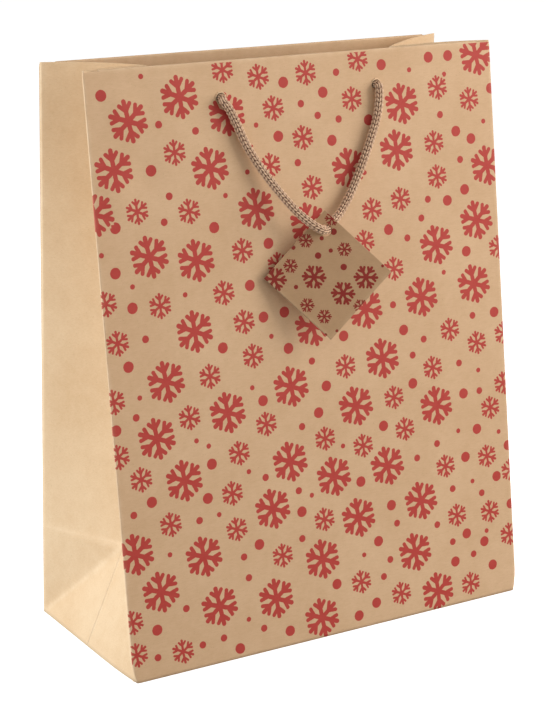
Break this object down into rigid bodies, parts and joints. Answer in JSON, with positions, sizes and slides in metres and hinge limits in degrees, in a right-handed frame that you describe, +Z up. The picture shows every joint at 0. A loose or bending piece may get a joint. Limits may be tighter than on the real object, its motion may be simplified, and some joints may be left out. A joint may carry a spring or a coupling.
{
  "type": "gift bag",
  "caption": "Folded kraft paper gift bag with side gussets, looped cord handles knotted inside the mouth, and a square tag hung by one corner.",
  "frame": {"origin": "centre of the base on the surface the bag stands on", "axes": "+X to the right across the printed front, +Y from the front panel to the back panel, +Z up to the mouth"},
  "size_m": [0.25, 0.1249, 0.3185],
  "materials": {
    "kraft_paper": "uncoated kraft",
    "printed_paper": "uncoated kraft with a one-colour red print",
    "printed_card": "uncoated kraft card with a one-colour red print",
    "board": "plain grey-brown board",
    "cord": "knitted tubular cord"
  },
  "bodies": {
    "root": {"front_bottom_flap": "kraft_paper", "rear_bottom_flap": "kraft_paper", "left_base_tuck": "kraft_paper", "right_base_tuck": "kraft_paper", "base_board": "board", "left_gusset_front_half": "kraft_paper", "left_gusset_rear_half": "kraft_paper", "right_gusset_front_half": "kraft_paper", "right_gusset_rear_half": "kraft_paper"},
    "front_panel": {"front_panel": "printed_paper", "front_reinforcing_card": "board", "front_left_knot": "cord", "front_right_knot": "cord"},
    "back_panel": {"back_panel": "printed_paper", "back_reinforcing_card": "board", "back_left_knot": "cord", "back_right_knot": "cord", "side_seam_lap": "kraft_paper"},
    "front_handle": {"front_handle_cord": "cord"},
    "back_handle": {"back_handle_cord": "cord"},
    "tag": {"gift_tag": "printed_card"}
  },
  "joints": [
    {"name": "front_panel_fold", "type": "hinge", "parent": "root", "child": "front_panel", "pos_m": [0, -0.0598, 0.0002], "axis": [1, 0, 0], "range_deg": [-3, 5], "stiffness_Nm_per_rad": 2, "deforming": ["left_gusset_front_half", "right_gusset_front_half"]},
    {"name": "back_panel_fold", "type": "hinge", "parent": "root", "child": "back_panel", "pos_m": [0, 0.0598, 0.0002], "axis": [-1, 0, 0], "range_deg": [-3, 5], "stiffness_Nm_per_rad": 2, "deforming": ["left_gusset_rear_half", "right_gusset_rear_half"]},
    {"name": "front_handle_swing", "type": "hinge", "parent": "front_panel", "child": "front_handle", "pos_m": [0, -0.03212, 0.29994], "axis": [-1, 0, 0], "range_deg": [0, 175]},
    {"name": "back_handle_swing", "type": "hinge", "parent": "back_panel", "child": "back_handle", "pos_m": [0, 0.03212, 0.29994], "axis": [1, 0, 0], "range_deg": [0, 175], "deforming": ["back_handle_cord"]},
    {"name": "tag_swing", "type": "hinge", "parent": "front_handle", "child": "tag", "pos_m": [0.0034, -0.04802, 0.22718], "axis": [-0.9361, 0.3517, -0.0009], "range_deg": [0, 150], "deforming": ["front_handle_cord"]}
  ]
}
